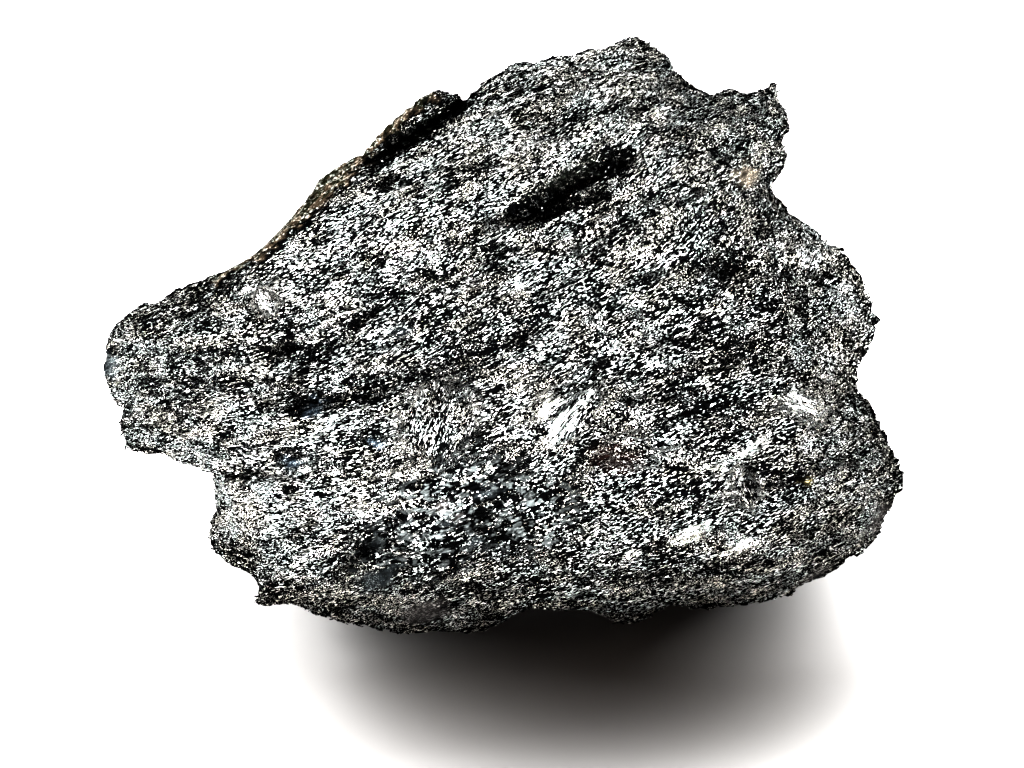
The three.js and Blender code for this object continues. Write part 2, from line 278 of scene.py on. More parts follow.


# Cleavage faces with painted highlights, and broad places brightened with painted light or
# darkened with painted shade: middle, half length, half width, tilt and lift.
LIFTS = [
    (6.4, -8.0, 2.8, 1.2, 36, 0.09),
    (8.2, -9.6, 3.9, 1.3, 52, 0.09),
    (10.0, -7.0, 1.8, 1.0, 45, 0.09),
    (23.7, -23.6, 3.2, 1.2, 26, 0.09),
    (29.4, -25.1, 2.8, 1.0, 25, 0.09),
    (16.1, -26.2, 1.3, 1.0, 0, 0.08),
    (36.7, -7.7, 3.0, 1.4, -10, 0.06),
    (30.6, -13.2, 3.5, 0.9, 27, 0.09),
    (3.0, 24.0, 6.0, 3.6, 20, 0.045),
    (-28.6, 4.8, 1.3, 0.8, -50, 0.14),
    (29.6, -17.4, 1.8, 0.2, -66, 0.12),
    (30.3, -17.6, 1.8, 0.24, -66, -0.20),
    (32.0, -17.9, 1.6, 0.2, -80, 0.12),
    (37.3, -28.4, 0.35, 0.35, 0, 0.30),
    (-6.3, -20.6, 0.7, 1.3, 0, 0.12),
    (-13, -26, 0.8, 0.6, 0, 0.12),
    (7, -24, 4.0, 2.4, 20, 0.03),
    (-24, -14, 6.0, 2.5, 35, 0.03),
    (-10, 22, 10.0, 3.5, 35, 0.045),
    (9.0, -8.2, 1.8, 0.2, 64, -0.20),
    (31.0, -17.0, 3.4, 1.8, 5, -0.07),
    (44, -21, 6.0, 8.0, 30, 0.03),
    (-44, -4, 9.0, 9.0, 0, -0.03),
    (14, -31.5, 14.0, 3.0, 5, 0.03),
    (30, 6, 9.0, 4.0, 0, -0.02),
    (-16, -21, 10.0, 6.0, -15, 0.04),
    (-12, -32, 12.0, 3.5, -10, 0.06),
    (-4, -1, 9.0, 4.0, 20, -0.045),
    (12, -15, 8.0, 4.0, 20, -0.03),
    (-3, 26, 8.0, 3.5, 25, 0.045),
    (30, -31, 10.0, 3.5, 15, 0.07),
    (10, 33, 11.0, 4.0, 0, 0.05),
    (40, 11, 7.0, 5.0, -40, 0.06),
    (-31, -20, 8.0, 5.0, -30, 0.06),
    (-20, -28, 8.0, 3.5, -10, 0.06),
    (11, 17, 2.5, 1.5, 27, -0.03),
    (31, -8, 4.5, 3.0, 0, -0.03),
    (3, -17, 3.5, 2.5, 0, -0.04),
    (-34, 0, 5.0, 5.0, 0, -0.03),
]
# A lift this strong is a bare plate, which no small blade stands on.
PLATE_LIFT = 0.08
LIFT_EDGE = 4
# Pockets of loose bright grains instead of blades.
GRAINY = [
    (-8, -22, 10.0, 6.0, 45),
    (4, -21, 6.0, 5.0, 0),
]
# Stained or smooth places: middle, half length, half width, tilt, colour and cover.
SLATE = (0.14, 0.165, 0.175)
BLUE_SLATE = (0.16, 0.22, 0.28)
GREY_CLAY = (0.36, 0.34, 0.33)
TAN = (0.62, 0.55, 0.45)
OCHRE = (0.95, 0.82, 0.42)
RUST = (0.10, 0.05, 0.04)
SHADED_OLIVE = (0.028, 0.034, 0.025)
OLIVE = (0.10, 0.10, 0.06)
BROWN = (0.40, 0.31, 0.22)
STAINS = [
    (-48.3, -3.0, 0.9, 1.8, 10, SLATE, 0.75),
    (-22.8, -8.4, 1.4, 0.8, 15, BLUE_SLATE, 0.7),
    (-25.6, -15.1, 1.1, 0.7, -20, BLUE_SLATE, 0.75),
    (-15.2, -12.6, 1.1, 0.5, -50, BLUE_SLATE, 0.75),
    (-12, 1.2, 1.5, 1.0, 10, SLATE, 0.35),
    (-15.2, -29.3, 2.3, 1.2, 20, SLATE, 0.85),
    (-12.6, -27.2, 0.8, 1.0, 0, SLATE, 0.8),
    (-15.2, -24.4, 0.8, 1.1, 0, SLATE, 0.75),
    (-7.0, -20.2, 0.9, 0.7, 0, GREY_CLAY, 0.7),
    (-5.0, -21.6, 0.6, 0.6, 0, GREY_CLAY, 0.7),
    (-6.2, -22.3, 0.7, 0.5, 0, SLATE, 0.7),
    (-3.0, -24.4, 1.2, 0.6, 10, SLATE, 0.7),
    (-1.4, -18.4, 1.6, 0.7, 15, SLATE, 0.65),
    (-4.0, -28.0, 1.0, 0.7, 30, SLATE, 0.5),
    (-9.3, -33.4, 3.0, 1.4, 12, GREY_CLAY, 0.9),
    (30.3, 20.2, 1.7, 1.2, 0, TAN, 0.75),
    (37.4, -17.1, 0.8, 0.42, -20, OCHRE, 0.9),
    (14, -14.5, 3.2, 1.8, -15, RUST, 0.3),
    (47.2, -22.0, 1.1, 2.4, -25, GREY_CLAY, 0.6),
    (39.2, -29.2, 2.4, 0.9, 32, GREY_CLAY, 0.6),
    # The two near-black olive stains sit in the cavities: an olive cast darkened with painted
    # shade.
    (9, 20.6, 4.2, 1.0, 26, SHADED_OLIVE, 0.6),
    (-9, 26.6, 3.6, 1.0, 38, SHADED_OLIVE, 0.6),
]
# The weathered rind along the upper left edge: the line of its inner edge.
RIND_LINE = [
    (-34.5, 7.0), (-32.0, 8.9), (-29.0, 10.0), (-25.0, 13.6), (-22.4, 15.9), (-18.8, 19.4),
    (-16.6, 22.2), (-12.6, 26.4), (-8.0, 29.9),
]
RIND_RAGGED = 0.3
TORN_RIND = [(1, 2.3, 0, 0), (1, 1, 3.7, 0)]
# The rind runs over the edge and ends this far behind the face, along a wavy line.
RIND_BACK = -22
RIND_BACK_WAVES = [(3, 0.8, 0, 1), (1.5, 2.1, 0, 0)]
# Each length of its line reaches a little past its ends.
RIND_OVERLAP = 0.5
NO_RIND = -1e3
RIND_FADE = 0.3
RIND_COVER = 0.65
# The metal that shows between the specks of the rind is a little brighter.
RIND_LEVEL = 0.05
RIND_SEAM = 0.35


def spread(x, v, places):
    """The strongest of many soft-edged ovals at each place."""
    x, v = ragged(x, v)
    total = np.zeros_like(x)
    for *shape, strength in places:
        weight = strength * np.exp(-(oval(x, v, *shape) ** LIFT_EDGE))
        total = np.where(np.abs(weight) > np.abs(total), weight, total)
    return total


def outside_rind_line(x, v, w):
    """How far each place lies beyond the rind's inner edge, in millimetres, or NO_RIND."""
    beyond = np.full_like(x, NO_RIND)
    torn = RIND_RAGGED * waves(x, v, TORN_RIND)
    for (x0, v0), (x1, v1) in zip(RIND_LINE, RIND_LINE[1:]):
        along, out = turned(x - x0, v - v0, math.atan2(v1 - v0, x1 - x0))
        length = math.hypot(x1 - x0, v1 - v0)
        beside = (along > -RIND_OVERLAP) & (along < length + RIND_OVERLAP)
        beyond = np.where(beside, np.maximum(beyond, out + torn), beyond)
    return np.where(w > waves(x, v, RIND_BACK_WAVES, RIND_BACK), beyond, NO_RIND)


# ---- The skin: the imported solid's surface, cut finer and broken into bundles ----

# noise_vector takes its offset from this seed, which Blender otherwise sets by the clock.
RELIEF_SEED = 7
noise.seed_set(RELIEF_SEED)

WELD = 0.001 * MM
FACE_CUTS = 5
BACK_CUTS = 2
# Surfaces turned to the show side at least this far are cut finest.
SHOW_TURN = 0.25
SOFTEN_PASSES = 5
FLAT_FOOT = 0.05 * MM
# Where the surface turns from the face it is a little darker.
STEEP_BELOW = 0.75
STEEP_DARK = 0.004
# On rims steeper than this the grain is coarse, out to 24 mm behind the face, fading over 6 mm.
COARSE_EDGE = 1.5
COARSE_ABOVE = 0.4
COARSE_BACK = (24, 6)
# Round the rim the share of bright dashes falls off: painted shade against the light that grazes
# the rim.
RIM_BELOW = 0.6
RIM_DARK = 0.02
# Where it turns up, back and sideways it is darkened all over: painted shade that evens out the
# light from the window behind and the light on the sides.
SKYWARD = Vector((0, 0.76, 0.65))
SKY_SHADE_GAIN = 3.5
SIDE_GAIN = 0.3
SKY_SHADE_POWER = -0.8
# Hollows are painted this much darker at their darkest: painted shade.
HOLLOW_DARK = 0.13
# Raised places get a little painted light, cracks painted shade, and broad zones vary.
HEIGHT_BRIGHT = 0.01
CRACK_DARK = 0.04
ZONE_SIZE = 6
ZONE_LEVEL = 0.006
# The face's lifts, hollows and stains end 14 mm behind it, after fading over 3 mm.
FACE_BACK = (14, 3)
STAIN_EDGE = 6
# Brown earth and olive in the rind: the size of the specks, and how brown gives way outwards.
MOTTLE_SIZE = 0.9
EARTH_FADE = 0.25
EARTH_REACH = 1.0

# Relief in three sizes: height, then length along, width across and depth, in millimetres.
BUNDLES = (0.22, (8.0, 2.3, 3.5))
FLAKES = (0.17, (3.6, 1.2, 1.7))
CHIPS = (0.14, (1.6, 0.55, 0.9))
# Slow bends in the bundles: how far, and how long.
BEND = 0.5
BEND_SIZE = 9
# Each flake's tilt and step come from noise read at its middle times these.
FLAKE_TILT_SPREAD = 7.3
FLAKE_STEP_SPREAD = 3.1
FLAKE_STEP = 0.8
FLAKE_CRACK_WIDTH = 0.2
FLAKE_CRACK_DEPTH = 0.5
FLAKE_STEEPNESS = 1.4
# Long open cracks between blades, and the clefts under the dark hollows.
CRACK_DEPTH = 0.6
CRACK_SIZE = (10.0, 1.8, 3.5)
CRACK_WIDTH = 0.06
CLEFT_DEPTH = 2.2
CLEFT_EDGE = 1.5
CLEFT_BACK = -16
CLEFT_RIPPLES = [(0.5, 3.1, 2.3, 0)]
# A plate is flatter than the skin round it, and stands a little proud.
PLATE_FULL_LIFT = 0.1
PLATE_BACK = -10
PLATE_FLATNESS = 0.8
PLATE_STAND = 0.3
# The relief fades out just above the base, in millimetres.
RELIEF_FROM = 0.2
RELIEF_FADE = 2.0


def add_attribute(mesh, name, values):
    layer = mesh.attributes.new(name, "FLOAT", "POINT")
    layer.data.foreach_set("value", np.asarray(values, dtype=np.float32))


def vertex_places(mesh):
    points = np.empty(len(mesh.vertices) * 3, dtype=np.float32)
    mesh.vertices.foreach_get("co", points)
    return points.reshape(-1, 3)


def vertex_normals(mesh):
    return np.array([vert.normal for vert in mesh.vertices])


def noise_at(x, v, w, size):
    """Noise of one size, in millimetres, at each place."""
    return np.array([noise.noise(Vector(row)) for row in np.stack([x, v, w], axis=1) / size])


def make_skin(node):
    """A finer copy of the node's surface, finest on the face, its base left flat."""
    mesh = node.data.copy()
    mesh.name = "antimony_skin"
    build = bmesh.new()
    build.from_mesh(mesh)
    bmesh.ops.remove_doubles(build, verts=build.verts, dist=WELD)
    build.normal_update()
    foot = {face for face in build.faces if face.calc_center_median().z < FLAT_FOOT}
    show = {face for face in build.faces if face.normal.dot(OUTWARD) > SHOW_TURN}
    face_edges = [e for e in build.edges if any(face in show for face in e.link_faces)]
    done = set(face_edges)
    back_edges = [
        e for e in build.edges if e not in done and not all(face in foot for face in e.link_faces)
    ]
    bmesh.ops.subdivide_edges(build, edges=back_edges, cuts=BACK_CUTS, use_grid_fill=True)
    face_edges = [e for e in face_edges if e.is_valid]
    bmesh.ops.subdivide_edges(build, edges=face_edges, cuts=FACE_CUTS, use_grid_fill=True)
    bmesh.ops.triangulate(build, faces=build.faces)
    free = [vert for vert in build.verts if vert.co.z > FLAT_FOOT]
    for _ in range(SOFTEN_PASSES):
        bmesh.ops.smooth_vert(
            build, verts=free, factor=0.5, use_axis_x=True, use_axis_y=True, use_axis_z=True
        )
    build.normal_update()
    build.to_mesh(mesh)
    build.free()
    return mesh


def flake_height(place):
    """Height, in flake heights, of a tilted cleavage flake with a crack round its edge."""
    distances, corners = noise.voronoi(place)
    corner = corners[0]
    tilt = noise.noise_vector(corner * FLAKE_TILT_SPREAD)
    step = tilt.dot(place - corner) + FLAKE_STEP * noise.noise(corner * FLAKE_STEP_SPREAD)
    crack = min(distances[1] - distances[0], FLAKE_CRACK_WIDTH) / FLAKE_CRACK_WIDTH
    return FLAKE_STEEPNESS * step - FLAKE_CRACK_DEPTH * (1 - crack)


def rim_painted_shade(normals):
    """How far the share of bright dashes falls off round the lump's rim, as painted shade."""
    return RIM_DARK * np.clip((RIM_BELOW - normals @ np.array(OUTWARD)) / RIM_BELOW, 0, 1)


def sky_painted_shade(normals):
    """The share of its brightness that the metal keeps as it turns up, back and sideways, as
    painted shade.
    """
    skyward = np.clip(normals @ np.array(SKYWARD.normalized()), 0, 1)
    sideways = normals[:, 0] ** 2
    return (1 + SKY_SHADE_GAIN * skyward + SIDE_GAIN * sideways) ** SKY_SHADE_POWER


def break_skin(mesh):
    """Moves the skin along its normals into bundles of blades and tilted flakes."""
    count = len(mesh.vertices)
    points = vertex_places(mesh)
    normals = vertex_normals(mesh)
    x, v, w = face_places(points).T
    along, across, _ = grain_places(x, v)
    heights = np.empty(count)
    cracks = np.empty(count)
    bundle_height, bundle_size = BUNDLES
    for i in range(count):
        bend = BEND * noise.noise(Vector((x[i], v[i], w[i])) / BEND_SIZE)

        def place(size):
            return Vector((along[i] / size[0], across[i] / size[1] + bend, w[i] / size[2]))

        crack = max(0, 1 - abs(noise.noise(place(CRACK_SIZE))) / CRACK_WIDTH)
        height = bundle_height * (0.5 - 2 * abs(noise.noise(place(bundle_size))))
        for flake, size in (FLAKES, CHIPS):
            height += flake * flake_height(place(size))
        heights[i] = height - CRACK_DEPTH * crack
        cracks[i] = crack
    plates = np.clip(spread(x, v, LIFTS) / PLATE_FULL_LIFT, 0, 1) * (w > PLATE_BACK)
    heights = heights * (1 - PLATE_FLATNESS * plates) + PLATE_STAND * plates
    clefts = np.clip(hollow_darkness(x, v), 0, 1) ** CLEFT_EDGE * (w > CLEFT_BACK)
    heights -= CLEFT_DEPTH * clefts * waves(x, v, CLEFT_RIPPLES, 1)
    heights *= np.clip((points[:, 2] / MM - RELIEF_FROM) / RELIEF_FADE, 0, 1)
    points = points + normals * (heights * MM)[:, None]
    points[:, 2] = np.maximum(points[:, 2], 0)
    mesh.vertices.foreach_set("co", points.ravel().astype(np.float32))
    mesh.update()
    # Painted light on raised places, painted shade in cracks, round the rim and on upturned sides.
    own_level = HEIGHT_BRIGHT * heights - CRACK_DARK * cracks - rim_painted_shade(normals)
    add_attribute(mesh, "bright", sky_painted_shade(normals))
    add_finish(mesh, points, vertex_normals(mesh), own_level)


def fade_behind(w, end, width):
    """1 on the face, fading to 0 where it is end millimetres behind."""
    return np.clip((w + end) / width, 0, 1)


def add_finish(mesh, points, normals, own_level):
    """Stores what the finish needs at each point: grain, brightness, grains and stains."""
    x, v, w = face_places(points).T
    along, across, _ = grain_places(x, v)
    layer = mesh.attributes.new("grain", "FLOAT_VECTOR", "POINT")
    values = np.stack([along, across, w], axis=1).astype(np.float32)
    layer.data.foreach_set("vector", values.ravel())
    face_share = fade_behind(w, *FACE_BACK)
    steep = np.clip((STEEP_BELOW - normals @ np.array(OUTWARD)) / STEEP_BELOW, 0, 1)
    level = own_level - STEEP_DARK * steep + ZONE_LEVEL * noise_at(x, v, w, ZONE_SIZE)
    # Lifts add painted highlights and broad painted light and shade; hollows add painted shade.
    level += face_share * (spread(x, v, LIFTS) - HOLLOW_DARK * hollow_darkness(x, v))
    pockets = face_share * spread(x, v, [(*shape, 1) for shape in GRAINY])
    edge = fade_behind(w, *COARSE_BACK) * np.clip(COARSE_EDGE * (steep - COARSE_ABOVE), 0, 1)
    stain = np.zeros((len(x), 4))
    torn_x, torn_v = ragged(x, v)
    for *shape, colour, cover in STAINS:
        weight = face_share * cover * np.exp(-(oval(torn_x, torn_v, *shape) ** STAIN_EDGE))
        stronger = weight > stain[:, 3]
        stain[stronger, :3] = colour
        stain[stronger, 3] = weight[stronger]
    beyond = outside_rind_line(x, v, w)
    rind = beyond > 0
    add_attribute(mesh, "pocket", pockets)
    add_attribute(mesh, "grainy", np.maximum(np.maximum(pockets, edge), rind))
    mottle = noise_at(x, v, w, MOTTLE_SIZE)
    earth = mottle[rind] - EARTH_FADE * (beyond[rind] - EARTH_REACH) > 0
    stain[rind, :3] = np.where(earth[:, None], BROWN, OLIVE)
    stain[rind, 3] = RIND_COVER * np.clip(beyond[rind] / RIND_FADE, 0, 1)
    level[rind] += RIND_LEVEL
    level -= RIND_SEAM * np.clip(1 - np.abs(beyond) / RIND_FADE, 0, 1)
    add_attribute(mesh, "level", level)
    layer = mesh.attributes.new("stain", "FLOAT_COLOR", "POINT")
    layer.data.foreach_set("color", stain.astype(np.float32).ravel())


# ---- Materials ----


class Nodes:
    """A short way to write a material's nodes."""

    def __init__(self, name):
        self.material = bpy.data.materials.new(name)
        self.material.use_nodes = True
        self.tree = self.material.node_tree
        self.shader = self.tree.nodes["Principled BSDF"]

    def add(self, kind, **settings):
        node = self.tree.nodes.new(kind)
        for key, value in settings.items():
            setattr(node, key, value)
        return node

    def link(self, source, target):
        self.tree.links.new(source, target)

    def attribute(self, name):
        return self.add("ShaderNodeAttribute", attribute_name=name).outputs["Fac"]

    def maths(self, operation, first, second, clamp=False):
        node = self.add("ShaderNodeMath", operation=operation, use_clamp=clamp)
        for socket, value in zip(node.inputs, (first, second)):
            if isinstance(value, (int, float)):
                socket.default_value = value
            else:
                self.link(value, socket)
        return node.outputs[0]

    def slope(self, value, gain, offset):
        """A clamped straight line: gain times the value, plus offset."""
        scaled = self.maths("MULTIPLY", value, gain)
        return self.maths("ADD", scaled, offset, clamp=True)

    def ramp(self, factor, stops):
        node = self.add("ShaderNodeValToRGB")
        elements = node.color_ramp.elements
        while len(elements) < len(stops):
            elements.new(0.5)
        for element, (position, colour) in zip(elements, stops):
            element.position = position
            element.color = (*colour, 1)
        self.link(factor, node.inputs["Fac"])
        return node.outputs["Color"]

    def mix(self, factor, first, second, blend="MIX"):
        node = self.add("ShaderNodeMix", data_type="RGBA", blend_type=blend)
        sockets = (node.inputs[0], node.inputs[6], node.inputs[7])
        for socket, value in zip(sockets, (factor, first, second)):
            if isinstance(value, (int, float)):
                socket.default_value = value
            elif isinstance(value, tuple):
                socket.default_value = (*value, 1)
            else:
                self.link(value, socket)
        return node.outputs[2]

    def grain_noise(self, size, detail=2, roughness=0.6):
        """Noise drawn out along the blades; size is in millimetres along, across and out."""
        scale = self.add("ShaderNodeMapping")
        scale.inputs["Scale"].default_value = [1 / part for part in size]
        grain = self.add("ShaderNodeAttribute", attribute_name="grain")
        self.link(grain.outputs["Vector"], scale.inputs["Vector"])
        texture = self.add("ShaderNodeTexNoise")
        texture.inputs["Scale"].default_value = 1
        texture.inputs["Detail"].default_value = detail
        texture.inputs["Roughness"].default_value = roughness
        self.link(scale.outputs[0], texture.inputs["Vector"])
        return texture.outputs["Fac"]

    def thin_lines(self, size, width):
        """1 along the thin, winding lines where a noise crosses its middle, else 0."""
        crossing = self.maths("SUBTRACT", self.grain_noise(size, detail=2), 0.5)
        return self.slope(self.maths("ABSOLUTE", crossing, 0), -1 / width, 1)


# The near-black dashes are painted shade between the bright metal dashes.
SHADE_BLACK = (0.0015, 0.0016, 0.0018)
STEEL_GREY = (0.30, 0.305, 0.30)
TIN_WHITE = (0.95, 0.96, 0.95)
SHADE_BLACK_BELOW = 0.537
WHITE_ABOVE = 0.546

SILK_SIZE = (0.6, 0.085, 0.15)
GRAIN_SIZE = (0.18, 0.095, 0.13)
CRUMB_SIZE = (0.42, 0.36, 0.42)
CRUMB_LIFT = 0.02
# Patches, lumps and breaks: their size in millimetres, then the slope that sharpens them.
PATCH_SIZE = (6, 3, 4)
PATCH_SLOPE = (16, -8.2)
LUMP_SIZE = (1.3, 0.9, 1.3)
LUMP_SLOPE = (16, -8.6)
LUMP_GREY = (0.11, 0.12, 0.12)
# Dark splits between blades, painted shade: their size in millimetres, then the share that is
# dark.
LONG_SPLIT = ((4.5, 0.7, 1.6), 0.11)
SHORT_SPLIT = ((0.95, 0.17, 0.36), 0.09)
SPLIT_DARK = 0.25
# The long splits are broken off here and there.
BREAK_SIZE = (3, 3, 3)
BREAK_SLOPE = (4, -1.4)
# Broad strokes, brighter and darker, along the blades.
STROKE_SIZE = (5.0, 0.7, 1.5)
STROKE_LEVEL = 0.03
STAIN_SPECKLE = [(0.42, (0.2, 0.2, 0.2)), (0.5, (0.55, 0.55, 0.55)), (0.56, (1, 1, 1))]
# Faint cool and warm casts on the metal.
TINT_SIZE = (5, 3, 4)
TINTS = [(0.4, (0.95, 1.0, 1.0)), (0.5, (1, 1, 0.99)), (0.6, (1.0, 0.98, 0.93))]
# Metal seen at a grazing angle is darker than when seen square on.
GRAZING_TINT = (0.4, 0.4, 0.4, 1)
BUMP_STRENGTH = 0.6
BUMP_HEIGHT = 0.15 * MM
# Each finish: how much its pieces differ in tone, and its roughness.
BROKEN_FINISH = (0, 0.65)
BLADE_FINISH = (0.04, 0.6)
CLEAVAGE_FINISH = (0.05, 0.35)


def finish_metal(name, own_tone, roughness):
    """Near-black dashes of painted shade among tin-white ones, silky in some patches and grainy in
    others.
    """
    nodes = Nodes(name)
    silk = nodes.grain_noise(SILK_SIZE, detail=0)
    grains = nodes.grain_noise(GRAIN_SIZE, detail=0)
    crumbs = nodes.maths("ADD", nodes.grain_noise(CRUMB_SIZE, detail=2), CRUMB_LIFT)
    share = nodes.slope(nodes.grain_noise(PATCH_SIZE, detail=1), *PATCH_SLOPE)
    fine = nodes.mix(nodes.attribute("grainy"), nodes.mix(share, silk, grains), crumbs)
    breaks = nodes.slope(nodes.grain_noise(BREAK_SIZE, detail=1), *BREAK_SLOPE)
    long_split = nodes.maths("MULTIPLY", nodes.thin_lines(*LONG_SPLIT), breaks)
    split = nodes.maths("MAXIMUM", long_split, nodes.thin_lines(*SHORT_SPLIT))
    relief = nodes.maths("SUBTRACT", fine, nodes.maths("MULTIPLY", split, SPLIT_DARK))
    strokes = nodes.maths("SUBTRACT", nodes.grain_noise(STROKE_SIZE, detail=1), 0.5)
    stroke_level = nodes.maths("MULTIPLY", strokes, STROKE_LEVEL)
    level = nodes.maths("ADD", nodes.attribute("level"), stroke_level)
    tone = nodes.maths("ADD", relief, level)
    if own_tone:
        own = nodes.maths("MULTIPLY", nodes.attribute("tone"), own_tone)
        tone = nodes.maths("ADD", tone, own)
    middle = (SHADE_BLACK_BELOW + WHITE_ABOVE) / 2
    colour = nodes.ramp(tone, [(SHADE_BLACK_BELOW, SHADE_BLACK), (middle, STEEL_GREY), (WHITE_ABOVE, TIN_WHITE)])
    tint = nodes.ramp(nodes.grain_noise(TINT_SIZE, detail=2), TINTS)
    colour = nodes.mix(1.0, colour, tint, blend="MULTIPLY")
    lumps = nodes.slope(nodes.grain_noise(LUMP_SIZE, detail=2), *LUMP_SLOPE)
    pocket_lumps = nodes.maths("MULTIPLY", lumps, nodes.attribute("pocket"))
    colour = nodes.mix(pocket_lumps, colour, LUMP_GREY)
    stain = nodes.add("ShaderNodeAttribute", attribute_name="stain")
    speckle = nodes.ramp(relief, STAIN_SPECKLE)
    speckled = nodes.mix(1.0, stain.outputs["Color"], speckle, blend="MULTIPLY")
    colour = nodes.mix(stain.outputs["Alpha"], colour, speckled)
    colour = nodes.mix(1.0, colour, nodes.attribute("bright"), blend="MULTIPLY")
    nodes.link(colour, nodes.shader.inputs["Base Color"])
    nodes.shader.inputs["Metallic"].default_value = 1.0
    nodes.shader.inputs["Roughness"].default_value = roughness
    nodes.shader.inputs["Specular Tint"].default_value = GRAZING_TINT
    bump = nodes.add("ShaderNodeBump")
    bump.inputs["Strength"].default_value = BUMP_STRENGTH
    bump.inputs["Distance"].default_value = BUMP_HEIGHT
    nodes.link(relief, bump.inputs["Height"])
    nodes.link(bump.outputs[0], nodes.shader.inputs["Normal"])
    return nodes.material


# Large bright plates: middle, half length, half width and tilt.
PLATES = [
    (6.4, -8.2, 2.2, 0.9, 36),
    (8.0, -9.8, 3.4, 1.0, 52),
    (10.2, -7.2, 1.8, 0.7, 45),
    (23.6, -23.5, 3.0, 1.0, 26),
    (29.2, -25.1, 2.6, 0.8, 25),
    (36.5, -7.8, 2.6, 1.2, -12),
    (30.4, -13.4, 3.3, 0.7, 27),
    (26.6, -15.2, 1.6, 0.6, 30),
    (-28.6, 4.8, 1.4, 0.8, -50),
    (29.5, -17.5, 1.8, 0.25, -66),
    (32.1, -17.9, 1.5, 0.2, -80),
    (16.1, -26.2, 1.0, 0.8, 10),
    (-14.0, 3.5, 2.0, 0.4, 30),
    (-22.5, -11.5, 2.6, 0.6, 38),
    (-26.5, -12.0, 2.4, 0.4, 40),
    (3.0, 6.5, 2.0, 0.6, 20),
    (19.0, 28.0, 2.2, 0.5, 28),
]
PLATE_NEIGHBOURS = 60
PLATE_RISE = 0.12
# The plates' slivers are painted brighter than the metal round them: a painted highlight.
PLATE_LEVEL = 0.13
PLATE_SEED = 7
FAR_AWAY = 1e3
# Slivers: their spacing, shortest half length and height in millimetres, the share of the plate
# that each reaches along, its shift and its half width over the spacing.
SLIVER_PITCH = 0.24
SLIVER_SHORTEST = 0.4
SLIVER_HEIGHT = (0.12, 0.2)
SLIVER_REACH = (0.7, 1.0)
SLIVER_SHIFT = 0.15
SLIVER_WIDTH = (0.5, 0.75)

# ---- Blades: small wedge-topped plates set in the skin along the grain ----

# A hipped wedge, lengthwise along X, its ridge from one end to the other.
WEDGE_FACES = np.array([
    (0, 2, 1), (0, 3, 2), (0, 1, 5), (0, 5, 4), (2, 3, 4), (2, 4, 5), (3, 0, 4), (1, 2, 5),
])
WEDGE_CORNERS = 6
# How far wedges lean sideways, and how much of that they lean lengthwise.
WEDGE_LEAN = 0.3
LENGTHWISE_LEAN = 0.3
# Shares of the half width or half length, and of the height.
RIDGE_OFFSET = 0.8
HIP_REACH = (0.3, 0.95)
END_WIDTH = (0.3, 1)
LOW_END = (0.5, 1)
WEDGE_SINK = 0.3
ABOVE_TABLE = 0.02 * MM
# How much blades differ in size and height, as a spread of their logarithm.
BLADE_SPREAD = 0.35
BLADE_LIMIT = 0.6
# Where blades may stand, in millimetres behind the face and above the table.
FACE_BLADES_END = -13
LONG_BLADES_END = -5
BACK_BLADES_START = -11
BARE_FOOT = 1.5 * MM
# How dark a hollow or how covered a stain may be before blades stay off it.
BLADES_SHADE = 0.5
BLADES_STAIN = 0.5
# Blades: name, number, seed, length, width and height, and how far they stray from the grain.
FACE_BLADES = ("face_blades", 2600, 6, 3.2, 0.46, 0.26, 8)
FACE_NEEDLES = ("face_needles", 18000, 3, 1.5, 0.17, 0.1, 7)
FACE_CHIPS = ("face_chips", 20000, 4, 0.65, 0.26, 0.16, 22)
BACK_BLADES = ("back_blades", 24000, 5, 1.9, 0.6, 0.35, 13)


def sample_surface(mesh, count, keep, rng):
    """Places, normals and brightness at points spread evenly over the skin's kept triangles."""
    triangles = np.empty(len(mesh.polygons) * 3, dtype=np.int32)
    mesh.polygons.foreach_get("vertices", triangles)
    triangles = triangles.reshape(-1, 3)
    corners = vertex_places(mesh)[triangles]
    cross = np.cross(corners[:, 1] - corners[:, 0], corners[:, 2] - corners[:, 0])
    areas = np.linalg.norm(cross, axis=1) / 2
    weights = areas * keep(corners.mean(axis=1))
    chosen = rng.choice(len(triangles), size=count, p=weights / weights.sum())
    one, two = rng.random(count), rng.random(count)
    flip = one + two > 1
    one[flip], two[flip] = 1 - one[flip], 1 - two[flip]
    start, second, third = corners[chosen].transpose(1, 0, 2)
    places = start + one[:, None] * (second - start) + two[:, None] * (third - start)
    normals = unit(vertex_normals(mesh)[triangles[chosen]].mean(axis=1))
    bright = np.empty(len(mesh.vertices), dtype=np.float32)
    mesh.attributes["bright"].data.foreach_get("value", bright)
    return places, normals, bright[triangles[chosen]].mean(axis=1)


def unit(vectors):
    """The same directions, each one long."""
    return vectors / np.maximum(np.linalg.norm(vectors, axis=1), 1e-9)[:, None]


